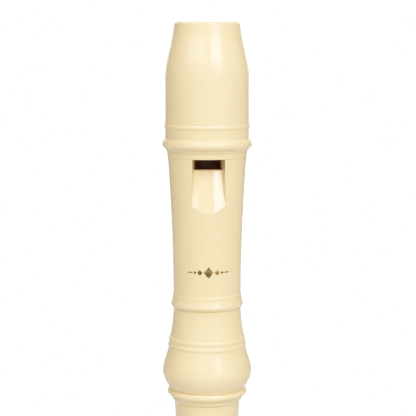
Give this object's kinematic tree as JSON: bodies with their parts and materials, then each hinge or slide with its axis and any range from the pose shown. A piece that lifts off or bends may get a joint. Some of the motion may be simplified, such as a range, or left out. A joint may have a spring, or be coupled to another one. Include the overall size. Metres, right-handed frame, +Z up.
{
  "type": "soprano recorder",
  "caption": "Moulded school soprano recorder in three joints: head with beak, window and labium ramp, middle with finger and thumb holes, and foot with a belled end.",
  "frame": {"origin": "centre of the foot's end face, on the bore's axis, where the recorder stands", "axes": "+Z up the bore's axis from the foot to the beak's tip; the window and finger holes face -Y and the thumb hole faces +Y; +X is to the right as seen from the front"},
  "size_m": [0.028, 0.028, 0.33],
  "materials": {
    "head_abs": "polished cream ABS moulding, faint warm translucency",
    "block_abs": "cream ABS moulding, a little duller than the head",
    "ring_abs": "polished cream ABS moulding",
    "middle_abs": "polished cream ABS moulding, satin on the tenons",
    "foot_abs": "polished cream ABS moulding",
    "gilt_foil": "hot-stamped dark gold foil, worn thin at its edges"
  },
  "bodies": {
    "middle": {"middle_joint": "middle_abs"},
    "head_ring": {"head_socket_ring": "ring_abs"},
    "head": {"beak_cap": "head_abs", "block": "block_abs", "head_body": "head_abs"},
    "foot_ring": {"foot_socket_ring": "ring_abs"},
    "foot": {"foot_joint": "foot_abs"}
  },
  "joints": [
    {"name": "head_pull", "type": "slide", "parent": "middle", "child": "head_ring", "axis": [0, 0, 1], "range_m": [0, 0.021]},
    {"name": "head_turn", "type": "hinge", "parent": "head_ring", "child": "head", "pos_m": [0, 0, 0.214], "axis": [0, 0, 1], "continuous": true},
    {"name": "foot_pull", "type": "slide", "parent": "middle", "child": "foot_ring", "axis": [0, 0, -1], "range_m": [0, 0.016]},
    {"name": "foot_turn", "type": "hinge", "parent": "foot_ring", "child": "foot", "pos_m": [0, 0, 0.067], "axis": [0, 0, 1], "continuous": true}
  ]
}
